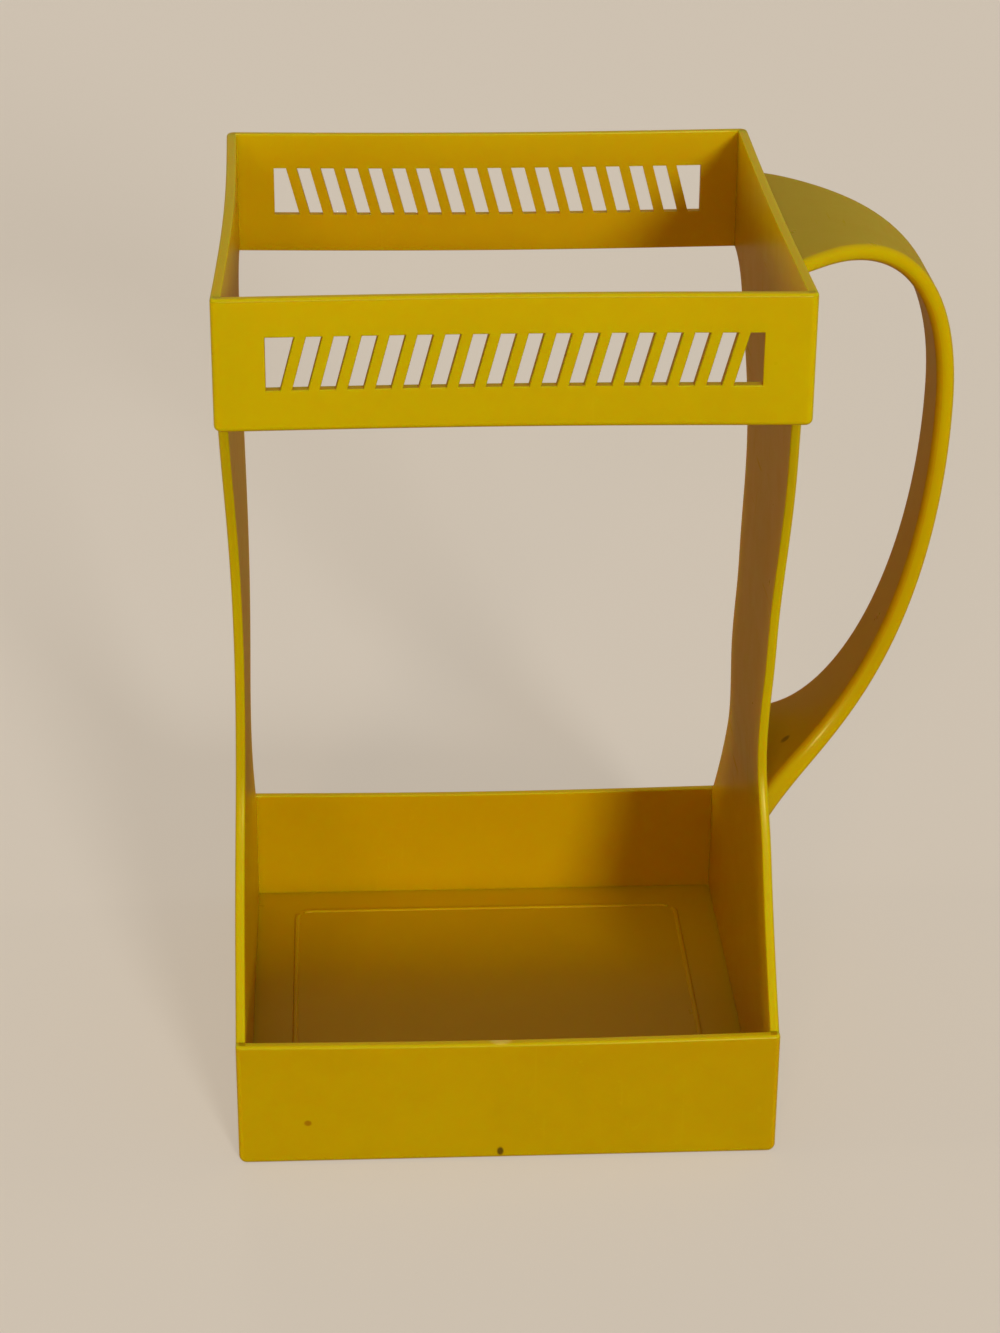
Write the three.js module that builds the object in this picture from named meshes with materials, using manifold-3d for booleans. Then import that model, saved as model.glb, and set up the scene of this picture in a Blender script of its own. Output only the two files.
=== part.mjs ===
// Carton carrier: an open square frame moulded in plastic, with a shallow tray for the carton's base,
// a pierced band round its top, two waisted side walls between them and a strap handle on one side.
// Millimetres, +Z up. The origin is the centre of the underside, the front is -Y and the handle is on +X.

import * as THREE from 'three';
import { mergeVertices } from 'three/addons/utils/BufferGeometryUtils.js';
import Module from 'manifold-3d';

const wasm = await Module();
wasm.setup();

// Driving dimensions: the carton's well and the walls round it
const CARTON_SIDE = 95.25;
const CARTON_CLEARANCE = 0.575;
const WALL = 1.8;
const CARRIER_HEIGHT = 168.2;
const BAND_HEIGHT = 23.2;
const TRAY_HEIGHT = 25.4;
const CORNER_RADIUS = 1.4;
const BAND_CORNER_RADIUS = 1;
const BASE_EDGE_RADIUS = 1.5;

// Tray floor, with the low bead that runs round its top
const FLOOR_THICKNESS = 2;
const BEAD_INSET = 8.2;
const BEAD_WIDTH = 1;
const BEAD_HEIGHT = 0.3;
const BEAD_CORNER = 3;

// Pierced window of the bands: slanted bars, spaced evenly between upright ends
const WINDOW_END_MARGIN = 8.8;
const WINDOW_DROP = 6.7;
const WINDOW_HEIGHT = 9.2;
const BAR_PITCH = 4.58;
const BAR_WIDTH = 2;
const BAR_SLANT = THREE.MathUtils.degToRad(15);

// Side wall's outline: it flares from the waist to the tray below and to the band above
const WAIST_WIDTH = 43;
const WAIST_LEVEL = 68;
const SHOULDER_SETBACK = 12.6;
const SHOULDER_DROP = 5.7;
const TRAY_FLARE_ANGLE = THREE.MathUtils.degToRad(47);
const SHOULDER_ANGLE = THREE.MathUtils.degToRad(66);

// Strap handle: its outer face's line in side view, its width and its thickness
const HANDLE_REACH = 32.6;
const HANDLE_TOP_DROP = 1.9;
const HANDLE_BELLY_DROP = 34.4;
const HANDLE_FOOT_LEVEL = 55.2;
const HANDLE_TOP_ANGLE = THREE.MathUtils.degToRad(5);
const HANDLE_FOOT_ANGLE = THREE.MathUtils.degToRad(26.5);
const UPPER_GRIP_WIDTH = 11.2;
const LOWER_GRIP_WIDTH = 14.8;
const TOP_ROOT_WIDTH = 54.4;
const TOP_FLARE_LENGTH = 17;
const TOP_FLARE_FULLNESS = 1.25;
const FOOT_ROOT_WIDTH = 45;
const FOOT_FLARE_LENGTH = 9.8;
const TOP_THICKNESS = 2.4;
const TOP_SWELL_LENGTH = 12;
const GRIP_THICKNESS = 3.3;
const FOOT_THICKNESS = 4.8;
const FOOT_SWELL_LENGTH = 25;
const STRAP_EDGE_RADIUS = 1.5;

// How far a curve keeps its end's direction, as a share of the rise or reach that it covers
const TRAY_FLARE_PULL = 0.43;
const WAIST_PULL_DOWN = 0.24;
const WAIST_PULL_UP = 0.64;
const SHOULDER_PULL = 0.38;
const HANDLE_TOP_PULL = 0.85;
const HANDLE_CREST_PULL = 0.49;
const HANDLE_BELLY_PULL = 0.4;
const HANDLE_FOOT_PULL = 0.8;

// Facets
const CORNER_SEGMENTS = 6;
const OUTLINE_SEGMENTS = 20;
const STRAP_STEPS = 48;
const STRAP_EDGE_SEGMENTS = 4;

// A cutting tool runs this far past what it cuts
const OVERRUN = 5;

// Sizes that follow from the driving ones
const INNER_SIDE = CARTON_SIDE + 2 * CARTON_CLEARANCE;
const OUTER_SIDE = INNER_SIDE + 2 * WALL;
const INNER_FACE = INNER_SIDE / 2;
const OUTER_FACE = OUTER_SIDE / 2;
const BAND_BOTTOM = CARRIER_HEIGHT - BAND_HEIGHT;

// A rounded edge takes up no more than this share of the wall or strap that carries it
const ROUND_LIMIT = 0.9;
const cornerRadius = Math.min(CORNER_RADIUS, ROUND_LIMIT * WALL);
const bandCornerRadius = Math.min(BAND_CORNER_RADIUS, ROUND_LIMIT * WALL);
const baseRadius = Math.min(BASE_EDGE_RADIUS, ROUND_LIMIT * WALL);

// Turns about the upright axis: a half turn brings the front to the rear and the right to the left
const HALF_TURN = Math.PI;
const RIGHT_TO_FRONT = -Math.PI / 2;

const yellowPlastic = () => new THREE.MeshStandardMaterial({ color: 0xd8b000, roughness: 0.3, metalness: 0 });

// Booleans

function solidOf(geometry) {
  const bare = geometry.clone();
  bare.deleteAttribute('normal');
  bare.deleteAttribute('uv');
  const merged = mergeVertices(bare, 1e-4);
  const mesh = new wasm.Mesh({
    numProp: 3,
    vertProperties: new Float32Array(merged.attributes.position.array),
    triVerts: new Uint32Array(merged.index.array),
  });
  return new wasm.Manifold(mesh);
}

function geometryOf(solid) {
  const mesh = solid.getMesh();
  const geometry = new THREE.BufferGeometry();
  geometry.setAttribute('position', new THREE.BufferAttribute(new Float32Array(mesh.vertProperties), 3));
  geometry.setIndex(new THREE.BufferAttribute(new Uint32Array(mesh.triVerts), 1));
  geometry.computeVertexNormals();
  return geometry;
}

function cutFrom(geometry, tools) {
  const left = tools.reduce((solid, tool) => solid.subtract(solidOf(tool)), solidOf(geometry));
  return geometryOf(left);
}

// Extrusions along each axis of the carrier

function extrudeUp(shape, bottom, top) {
  const geometry = new THREE.ExtrudeGeometry(shape, {
    depth: top - bottom,
    bevelEnabled: false,
    curveSegments: CORNER_SEGMENTS,
  });
  return geometry.translate(0, 0, bottom);
}

// The shape's own x and y become the carrier's X and Z
function extrudeAlongY(shape, from, to) {
  const geometry = new THREE.ExtrudeGeometry(shape, {
    depth: to - from,
    bevelEnabled: false,
    curveSegments: CORNER_SEGMENTS,
  });
  return geometry.rotateX(Math.PI / 2).translate(0, to, 0);
}

// The shape's own x and y become the carrier's Y and Z
function extrudeAlongX(shape, from, to) {
  const geometry = new THREE.ExtrudeGeometry(shape, {
    depth: to - from,
    bevelEnabled: false,
    curveSegments: OUTLINE_SEGMENTS,
  });
  const alongX = new THREE.Matrix4().makeBasis(
    new THREE.Vector3(0, 1, 0),
    new THREE.Vector3(0, 0, 1),
    new THREE.Vector3(1, 0, 0),
  );
  return geometry.applyMatrix4(alongX).translate(from, 0, 0);
}

// Front and rear walls

// Plan of a front wall: it covers the side walls' ends, and its outer corners are rounded
function frontWallPlan() {
  const shape = new THREE.Shape();
  shape.moveTo(OUTER_FACE, -INNER_FACE);
  shape.lineTo(-OUTER_FACE, -INNER_FACE);
  const cornerX = OUTER_FACE - cornerRadius;
  const cornerY = -OUTER_FACE + cornerRadius;
  shape.absarc(-cornerX, cornerY, cornerRadius, Math.PI, 1.5 * Math.PI, false);
  shape.absarc(cornerX, cornerY, cornerRadius, 1.5 * Math.PI, 2 * Math.PI, false);
  shape.closePath();
  return shape;
}

// One slot for each gap between two bars, and one at each end of the window
function windowSlots() {
  const bottom = CARRIER_HEIGHT - WINDOW_DROP - WINDOW_HEIGHT;
  const top = bottom + WINDOW_HEIGHT;
  const left = -OUTER_FACE + WINDOW_END_MARGIN;
  const width = OUTER_SIDE - 2 * WINDOW_END_MARGIN;
  const gapCount = Math.round(width / BAR_PITCH);
  const pitch = width / gapCount;
  const lean = (WINDOW_HEIGHT / 2) * Math.tan(BAR_SLANT);
  const slots = [];
  for (let gap = 0; gap < gapCount; gap += 1) {
    const leftEnd = gap === 0;
    const rightEnd = gap === gapCount - 1;
    const start = left + gap * pitch + (leftEnd ? 0 : BAR_WIDTH / 2);
    const end = left + (gap + 1) * pitch - (rightEnd ? 0 : BAR_WIDTH / 2);
    const startLean = leftEnd ? 0 : lean;
    const endLean = rightEnd ? 0 : lean;
    const shape = new THREE.Shape();
    shape.moveTo(start - startLean, bottom);
    shape.lineTo(end - endLean, bottom);
    shape.lineTo(end + endLean, top);
    shape.lineTo(start + startLean, top);
    shape.closePath();
    slots.push(extrudeAlongY(shape, -OUTER_FACE - OVERRUN, -INNER_FACE + OVERRUN));
  }
  return slots;
}

// The waste outside a rounded lower edge at a level: it runs along the right side before its turn
function lowerEdgeWaste(turn, level, radius) {
  const arcX = OUTER_FACE - radius;
  const arcZ = level + radius;
  const shape = new THREE.Shape();
  shape.moveTo(arcX, level);
  shape.lineTo(arcX, level - OVERRUN);
  shape.lineTo(OUTER_FACE + OVERRUN, level - OVERRUN);
  shape.lineTo(OUTER_FACE + OVERRUN, arcZ);
  shape.lineTo(OUTER_FACE, arcZ);
  shape.absarc(arcX, arcZ, radius, 0, -Math.PI / 2, true);
  return extrudeAlongY(shape, -OUTER_FACE - OVERRUN, OUTER_FACE + OVERRUN).rotateZ(turn);
}

function bandGeometry() {
  const ends = [0, HALF_TURN].map((turn) => lowerEdgeWaste(turn, BAND_BOTTOM, bandCornerRadius));
  return cutFrom(extrudeUp(frontWallPlan(), BAND_BOTTOM, CARRIER_HEIGHT), [...ends, ...windowSlots()]);
}

function trayWallGeometry() {
  const base = [0, HALF_TURN, RIGHT_TO_FRONT].map((turn) => lowerEdgeWaste(turn, 0, baseRadius));
  return cutFrom(extrudeUp(frontWallPlan(), 0, TRAY_HEIGHT), base);
}

// Side walls

// Edge of the side wall from the tray's rim up to the rim of the carrier, as [depth, height] points
function sideWallEdge() {
  const waist = WAIST_WIDTH / 2;
  const shoulder = INNER_FACE - SHOULDER_SETBACK;
  const shoulderLevel = BAND_BOTTOM - SHOULDER_DROP;
  const lowerRise = WAIST_LEVEL - TRAY_HEIGHT;
  const upperRise = shoulderLevel - WAIST_LEVEL;
  const trayPull = TRAY_FLARE_PULL * lowerRise;
  const shoulderPull = SHOULDER_PULL * upperRise;
  const lower = new THREE.CubicBezierCurve(
    new THREE.Vector2(INNER_FACE, TRAY_HEIGHT),
    new THREE.Vector2(
      INNER_FACE - trayPull * Math.cos(TRAY_FLARE_ANGLE),
      TRAY_HEIGHT + trayPull * Math.sin(TRAY_FLARE_ANGLE),
    ),
    new THREE.Vector2(waist, WAIST_LEVEL - WAIST_PULL_DOWN * lowerRise),
    new THREE.Vector2(waist, WAIST_LEVEL),
  );
  const upper = new THREE.CubicBezierCurve(
    new THREE.Vector2(waist, WAIST_LEVEL),
    new THREE.Vector2(waist, WAIST_LEVEL + WAIST_PULL_UP * upperRise),
    new THREE.Vector2(
      shoulder - shoulderPull * Math.cos(SHOULDER_ANGLE),
      shoulderLevel - shoulderPull * Math.sin(SHOULDER_ANGLE),
    ),
    new THREE.Vector2(shoulder, shoulderLevel),
  );
  const fillet = new THREE.QuadraticBezierCurve(
    new THREE.Vector2(shoulder, shoulderLevel),
    new THREE.Vector2(shoulder + SHOULDER_DROP / Math.tan(SHOULDER_ANGLE), BAND_BOTTOM),
    new THREE.Vector2(INNER_FACE, BAND_BOTTOM),
  );
  return [
    new THREE.Vector2(INNER_FACE, 0),
    ...lower.getPoints(OUTLINE_SEGMENTS),
    ...upper.getPoints(OUTLINE_SEGMENTS).slice(1),
    ...fillet.getPoints(CORNER_SEGMENTS).slice(1),
    new THREE.Vector2(INNER_FACE, CARRIER_HEIGHT),
  ];
}

function sideWallGeometry() {
  const rearEdge = sideWallEdge();
  const frontEdge = rearEdge.map((point) => new THREE.Vector2(-point.x, point.y)).reverse();
  const shape = new THREE.Shape([...rearEdge, ...frontEdge]);
  return cutFrom(extrudeAlongX(shape, INNER_FACE, OUTER_FACE), [lowerEdgeWaste(0, 0, baseRadius)]);
}

// Tray floor

function roundedSquare(half, radius) {
  const shape = new THREE.Shape();
  const centre = half - radius;
  shape.absarc(centre, centre, radius, 0, 0.5 * Math.PI, false);
  shape.absarc(-centre, centre, radius, 0.5 * Math.PI, Math.PI, false);
  shape.absarc(-centre, -centre, radius, Math.PI, 1.5 * Math.PI, false);
  shape.absarc(centre, -centre, radius, 1.5 * Math.PI, 2 * Math.PI, false);
  shape.closePath();
  return shape;
}

function floorGeometry() {
  const plate = new THREE.BoxGeometry(INNER_SIDE, INNER_SIDE, FLOOR_THICKNESS);
  plate.translate(0, 0, FLOOR_THICKNESS / 2);
  const bead = roundedSquare(INNER_FACE - BEAD_INSET + BEAD_WIDTH / 2, BEAD_CORNER + BEAD_WIDTH / 2);
  bead.holes.push(roundedSquare(INNER_FACE - BEAD_INSET - BEAD_WIDTH / 2, BEAD_CORNER - BEAD_WIDTH / 2));
  const ring = extrudeUp(bead, FLOOR_THICKNESS / 2, FLOOR_THICKNESS + BEAD_HEIGHT);
  return geometryOf(solidOf(plate).add(solidOf(ring)));
}

// Strap handle

// Line of the strap's outer face in side view, from the top root over the belly to the foot
function strapLine() {
  const top = CARRIER_HEIGHT - HANDLE_TOP_DROP;
  const belly = top - HANDLE_BELLY_DROP;
  const foot = HANDLE_FOOT_LEVEL;
  const reach = OUTER_FACE + HANDLE_REACH;
  const topPull = HANDLE_TOP_PULL * HANDLE_REACH;
  const footPull = HANDLE_FOOT_PULL * HANDLE_REACH;
  const line = new THREE.CurvePath();
  line.add(new THREE.CubicBezierCurve(
    new THREE.Vector2(OUTER_FACE, top),
    new THREE.Vector2(
      OUTER_FACE + topPull * Math.cos(HANDLE_TOP_ANGLE),
      top + topPull * Math.sin(HANDLE_TOP_ANGLE),
    ),
    new THREE.Vector2(reach, belly + HANDLE_CREST_PULL * HANDLE_BELLY_DROP),
    new THREE.Vector2(reach, belly),
  ));
  line.add(new THREE.CubicBezierCurve(
    new THREE.Vector2(reach, belly),
    new THREE.Vector2(reach, belly - HANDLE_BELLY_PULL * (belly - foot)),
    new THREE.Vector2(
      OUTER_FACE + footPull * Math.cos(HANDLE_FOOT_ANGLE),
      foot + footPull * Math.sin(HANDLE_FOOT_ANGLE),
    ),
    new THREE.Vector2(OUTER_FACE, foot),
  ));
  return line;
}

// Half width and thickness at a distance along the strap: the grip tapers, both roots flare out of it,
// and the strap is thinnest at the top root and thickest at the foot
function strapSize(along, length) {
  const fromFoot = length - along;
  const grip = THREE.MathUtils.lerp(UPPER_GRIP_WIDTH, LOWER_GRIP_WIDTH, along / length);
  const topFade = Math.exp(-((along / TOP_FLARE_LENGTH) ** TOP_FLARE_FULLNESS));
  const footFade = Math.exp(-fromFoot / FOOT_FLARE_LENGTH);
  const topFlare = (TOP_ROOT_WIDTH - UPPER_GRIP_WIDTH) * topFade;
  const footFlare = (FOOT_ROOT_WIDTH - LOWER_GRIP_WIDTH) * footFade;
  const topThinning = (GRIP_THICKNESS - TOP_THICKNESS) * Math.exp(-along / TOP_SWELL_LENGTH);
  const footSwell = (FOOT_THICKNESS - GRIP_THICKNESS) * Math.exp(-fromFoot / FOOT_SWELL_LENGTH);
  return {
    half: (grip + topFlare + footFlare) / 2,
    thickness: GRIP_THICKNESS - topThinning + footSwell,
  };
}

// Rounded rectangle across the strap, as [across, below the outer face] pairs
function strapSection({ half, thickness }) {
  const radius = Math.min(STRAP_EDGE_RADIUS, (ROUND_LIMIT / 2) * thickness);
  const corners = [
    [half - radius, radius, -Math.PI / 2],
    [half - radius, thickness - radius, 0],
    [-half + radius, thickness - radius, Math.PI / 2],
    [-half + radius, radius, Math.PI],
  ];
  return corners.flatMap(([across, below, start]) => {
    const arc = [];
    for (let step = 0; step <= STRAP_EDGE_SEGMENTS; step += 1) {
      const angle = start + (step / STRAP_EDGE_SEGMENTS) * (Math.PI / 2);
      arc.push([across + radius * Math.cos(angle), below + radius * Math.sin(angle)]);
    }
    return arc;
  });
}

// Sections along the line, with one more past each end so that the strap can be trimmed to the wall
function strapStations(line) {
  const length = line.getLength();
  const stations = [];
  for (let step = 0; step <= STRAP_STEPS; step += 1) {
    const share = step / STRAP_STEPS;
    const point = line.getPointAt(share);
    const tangent = line.getTangentAt(share);
    stations.push({ point, tangent, section: strapSection(strapSize(share * length, length)) });
  }
  const first = stations[0];
  const last = stations[STRAP_STEPS];
  stations.unshift({ ...first, point: first.point.clone().addScaledVector(first.tangent, -OVERRUN) });
  stations.push({ ...last, point: last.point.clone().addScaledVector(last.tangent, OVERRUN) });
  return stations;
}

function loft(stations) {
  const positions = [];
  const triangles = [];
  const count = stations[0].section.length;
  for (const { point, tangent, section } of stations) {
    for (const [across, below] of section) {
      positions.push(point.x + below * tangent.y, across, point.y - below * tangent.x);
    }
  }
  for (let ring = 0; ring < stations.length - 1; ring += 1) {
    for (let side = 0; side < count; side += 1) {
      const a = ring * count + side;
      const b = ring * count + ((side + 1) % count);
      triangles.push(a, a + count, b, b, a + count, b + count);
    }
  }
  const lastRing = (stations.length - 1) * count;
  for (let side = 1; side < count - 1; side += 1) {
    triangles.push(0, side, side + 1);
    triangles.push(lastRing, lastRing + side + 1, lastRing + side);
  }
  const geometry = new THREE.BufferGeometry();
  geometry.setAttribute('position', new THREE.Float32BufferAttribute(positions, 3));
  geometry.setIndex(triangles);
  return geometry;
}

function handleGeometry() {
  const depth = 2 * OVERRUN;
  const behindWall = new THREE.BoxGeometry(depth, OUTER_SIDE, CARRIER_HEIGHT + 2 * OVERRUN);
  behindWall.translate(OUTER_FACE - depth / 2, 0, CARRIER_HEIGHT / 2);
  return cutFrom(loft(strapStations(strapLine())), [behindWall]);
}

// Assembly

function addPiece(group, name, geometry, turn = 0) {
  const mesh = new THREE.Mesh(geometry, yellowPlastic());
  mesh.name = name;
  mesh.rotation.z = turn;
  group.add(mesh);
}

const carrier = new THREE.Group();
carrier.name = 'carton_carrier';

const band = bandGeometry();
addPiece(carrier, 'front_band', band);
addPiece(carrier, 'rear_band', band, HALF_TURN);

const sideWall = sideWallGeometry();
addPiece(carrier, 'left_wall', sideWall, HALF_TURN);
addPiece(carrier, 'right_wall', sideWall);

const trayWall = trayWallGeometry();
addPiece(carrier, 'front_tray_wall', trayWall);
addPiece(carrier, 'rear_tray_wall', trayWall, HALF_TURN);
addPiece(carrier, 'tray_floor', floorGeometry());
addPiece(carrier, 'handle_strap', handleGeometry());

export default carrier;
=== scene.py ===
"""Dresses the carton carrier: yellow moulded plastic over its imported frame, with a floor, lamps and a camera.

Every length is in metres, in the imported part's own frame: +Z is up, the front faces -Y and the strap
handle is on +X.
"""

from __future__ import annotations

import logging
import math
from dataclasses import dataclass, replace
from enum import Enum
from typing import Callable, Sequence, Union

import bmesh
import bpy
from mathutils import Matrix, Vector
from mathutils.geometry import interpolate_bezier

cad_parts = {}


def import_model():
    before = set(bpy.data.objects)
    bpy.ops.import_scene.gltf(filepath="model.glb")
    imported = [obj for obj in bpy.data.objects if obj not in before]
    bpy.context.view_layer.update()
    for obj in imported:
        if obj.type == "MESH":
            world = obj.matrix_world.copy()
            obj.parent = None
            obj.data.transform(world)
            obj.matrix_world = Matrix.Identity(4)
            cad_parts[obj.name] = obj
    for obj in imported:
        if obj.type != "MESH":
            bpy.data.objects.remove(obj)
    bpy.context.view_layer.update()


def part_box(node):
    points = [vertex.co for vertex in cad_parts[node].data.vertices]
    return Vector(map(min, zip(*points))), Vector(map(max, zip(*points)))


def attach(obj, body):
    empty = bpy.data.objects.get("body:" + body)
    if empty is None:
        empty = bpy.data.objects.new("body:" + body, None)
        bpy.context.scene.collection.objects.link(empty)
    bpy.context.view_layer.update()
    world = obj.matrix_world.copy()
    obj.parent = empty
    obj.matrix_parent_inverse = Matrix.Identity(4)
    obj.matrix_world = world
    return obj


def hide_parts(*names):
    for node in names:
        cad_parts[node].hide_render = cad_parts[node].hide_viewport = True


LOG = logging.getLogger("carton_carrier")

MM = 0.001
NEAR = 1e-5
HALF_TURN = math.pi
EDGE_ATTRIBUTE = "edge"
INWARD_ATTRIBUTE = "inward"
BEVEL_ATTRIBUTE = "bevel_weight_edge"

Point = tuple[float, float, float]
Colour = tuple[float, float, float, float]
PlaceTest = Callable[[Vector], bool]
EdgeTest = Callable[[Vector, Vector], bool]
PlaceShare = Callable[[Vector], float]


def linear(red: int, green: int, blue: int) -> Colour:
    """Turns a screen colour into the linear one that shaders take.

    Args:
        red: Red, from 0 to 255.
        green: Green, from 0 to 255.
        blue: Blue, from 0 to 255.

    Returns:
        The linear colour with a full alpha.
    """
    def channel(value: int) -> float:
        """Undoes the screen's curve, which is sRGB, for one channel."""
        share = value / 255
        return share / 12.92 if share <= 0.04045 else ((share + 0.055) / 1.055) ** 2.4

    return channel(red), channel(green), channel(blue), 1.0


def anywhere(place: Vector) -> bool:
    """Passes every place."""
    return True


def both_ends(test: PlaceTest) -> EdgeTest:
    """Passes an edge where both of its ends pass a test."""
    return lambda a, b: test(a) and test(b)


def middle_of(edge: bmesh.types.BMEdge) -> Vector:
    """The point midway along an edge."""
    return (edge.verts[0].co + edge.verts[1].co) / 2


class Facing(Enum):
    """The side that a new plate faces, as the turn that a flat plane takes to face it."""

    FRONT = (math.pi / 2, 0.0, 0.0)
    RIGHT = (math.pi / 2, 0.0, math.pi / 2)
    UP = (0.0, 0.0, 0.0)


class Axis(Enum):
    """A direction that a wall bows in, by the name that the Displace modifier gives it."""

    X = "X"
    Y = "Y"


class Element(Enum):
    """What is selected in a mesh, by the name that Blender's select modes give it."""

    VERTEX = "VERT"
    EDGE = "EDGE"
    FACE = "FACE"


@dataclass(frozen=True)
class Envelope:
    """The moulding's main planes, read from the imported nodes."""

    inner: float
    outer: float
    rim: float
    band_bottom: float
    tray_top: float
    floor_top: float

    @classmethod
    def measured(cls) -> Envelope:
        """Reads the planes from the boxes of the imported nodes.

        Returns:
            The planes, in the part's own frame.
        """
        band_low, band_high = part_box("front_band")
        tray_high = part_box("front_tray_wall")[1]
        floor_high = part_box("tray_floor")[1]
        return cls(
            inner=-band_high.y,
            outer=band_high.x,
            rim=band_high.z,
            band_bottom=band_low.z,
            tray_top=tray_high.z,
            floor_top=floor_high.z - TrayFloor.bead_height,
        )

    @property
    def wall(self) -> float:
        """The thickness of the upright walls."""
        return self.outer - self.inner


class Workpiece:
    """A mesh that is modelled with Blender's own operators, on parts of it chosen by their place."""

    SHARP = math.radians(50)
    SMOOTH = math.radians(35)
    FLAT_WEIGHT = 100

    def __init__(self, obj: bpy.types.Object) -> None:
        """Takes over an object whose place is already in its mesh."""
        self.obj = obj

    @classmethod
    def plate(
        cls, name: str, facing: Facing, centre: Sequence[float], size: tuple[float, float]
    ) -> Workpiece:
        """Adds a flat plate.

        Args:
            name: The new object's name.
            facing: The side that the plate faces.
            centre: Its middle.
            size: Its width and its height.

        Returns:
            The plate, with its place and size in its mesh.
        """
        cls.close()
        bpy.ops.object.select_all(action="DESELECT")
        bpy.ops.mesh.primitive_plane_add(size=1, location=centre, rotation=facing.value)
        bpy.context.active_object.scale = (*size, 1)
        return cls.settled(name)

    @classmethod
    def settled(cls, name: str) -> Workpiece:
        """Names the active object, and puts its place, turn and size in its mesh.

        Args:
            name: The object's name.

        Returns:
            The object, as a piece to work on.
        """
        obj = bpy.context.active_object
        obj.name = name
        obj.data.name = name
        bpy.ops.object.transform_apply(location=True, rotation=True, scale=True)
        return cls(obj)

    @classmethod
    def traced(cls, name: str, outline: Sequence[Vector]) -> Workpiece:
        """Draws a flat face by extruding one point round its outline.

        Args:
            name: The new object's name.
            outline: The corners in order, counter-clockwise seen from the side that the face faces.

        Returns:
            The filled outline.
        """
        piece = cls.plate(name, Facing.UP, outline[0], (MM, MM))
        piece.edit()
        bpy.ops.mesh.select_all(action="SELECT")
        bpy.ops.mesh.merge(type="CENTER")
        for here, there in zip(outline, outline[1:]):
            bpy.ops.mesh.extrude_vertices_move(TRANSFORM_OT_translate={"value": there - here})
        bpy.ops.mesh.select_all(action="SELECT")
        bpy.ops.mesh.edge_face_add()
        return piece

    def edit(self) -> None:
        """Opens the mesh of this object alone."""
        if bpy.context.mode == "EDIT_MESH" and bpy.context.active_object == self.obj:
            return
        self.choose()
        bpy.ops.object.mode_set(mode="EDIT")

    def choose(self) -> None:
        """Makes this the only selected object, in object mode."""
        self.close()
        bpy.ops.object.select_all(action="DESELECT")
        self.obj.select_set(True)
        bpy.context.view_layer.objects.active = self.obj

    @staticmethod
    def close() -> None:
        """Goes back to object mode, whichever mesh is open."""
        if bpy.context.mode != "OBJECT":
            bpy.ops.object.mode_set(mode="OBJECT")

    def unselected(self, element: Element) -> bmesh.types.BMesh:
        """Opens the mesh with nothing selected.

        Args:
            element: What is selected next.

        Returns:
            The open mesh.
        """
        self.edit()
        bpy.ops.mesh.select_mode(type=element.value)
        bpy.ops.mesh.select_all(action="DESELECT")
        return bmesh.from_edit_mesh(self.obj.data)

    def sharp_edges(self, mesh: bmesh.types.BMesh) -> list[bmesh.types.BMEdge]:
        """The sharp edges of the open mesh."""
        return [edge for edge in mesh.edges if edge.calc_face_angle(0) > self.SHARP]

    def pick(self, element: Element, test: PlaceTest) -> None:
        """Selects the vertices, edges or faces whose middle passes a test.

        Args:
            element: Which of them to select.
            test: Says whether a middle point is wanted.
        """
        mesh = self.unselected(element)
        if element is Element.VERTEX:
            chosen = [vertex for vertex in mesh.verts if test(vertex.co)]
        elif element is Element.EDGE:
            chosen = [edge for edge in mesh.edges if test(middle_of(edge))]
        else:
            chosen = [face for face in mesh.faces if test(face.calc_center_median())]
        for part in chosen:
            part.select_set(True)
        mesh.select_flush_mode()
        bmesh.update_edit_mesh(self.obj.data)

    def pick_sharp(self, test: EdgeTest) -> int:
        """Selects the sharp edges that pass a test.

        Args:
            test: Says whether the edge between two points is wanted.

        Returns:
            How many were selected.
        """
        mesh = self.unselected(Element.EDGE)
        chosen = [edge for edge in self.sharp_edges(mesh) if test(edge.verts[0].co, edge.verts[1].co)]
        for edge in chosen:
            edge.select_set(True)
        bmesh.update_edit_mesh(self.obj.data)
        return len(chosen)

    def cut(self, place: Sequence[float], normal: Sequence[float], test: PlaceTest = anywhere) -> None:
        """Cuts faces along a plane, and keeps both sides.

        Args:
            place: A point on the plane.
            normal: The plane's direction.
            test: Says which faces to cut, by their middle.
        """
        self.pick(Element.FACE, test)
        bpy.ops.mesh.bisect(plane_co=place, plane_no=normal)

    def trim(self, place: Sequence[float], normal: Sequence[float]) -> None:
        """Cuts the piece along a plane, and keeps and closes the side that the direction points to."""
        self.pick(Element.FACE, anywhere)
        bpy.ops.mesh.bisect(plane_co=place, plane_no=normal, use_fill=True, clear_inner=True)

    def remove_faces(self, test: PlaceTest) -> None:
        """Deletes the faces whose middle passes a test, with the edges that only they had."""
        self.pick(Element.FACE, test)
        bpy.ops.mesh.delete(type="FACE")

    def round_selected(self, radius: float, segments: int, corners: bool = False) -> None:
        """Rounds what is selected.

        Args:
            radius: The rounding's radius.
            segments: How many facets it has.
            corners: Whether the corners of a flat sheet are rounded, and not the edges of a solid.
        """
        bpy.ops.mesh.bevel(
            offset_type="OFFSET",
            offset=radius,
            segments=segments,
            affect="VERTICES" if corners else "EDGES",
            clamp_overlap=False,
            loop_slide=False,
        )

    def round_edges(self, radius: float, segments: int, test: EdgeTest) -> None:
        """Rounds the sharp edges that pass a test."""
        if self.pick_sharp(test):
            self.round_selected(radius, segments)

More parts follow.
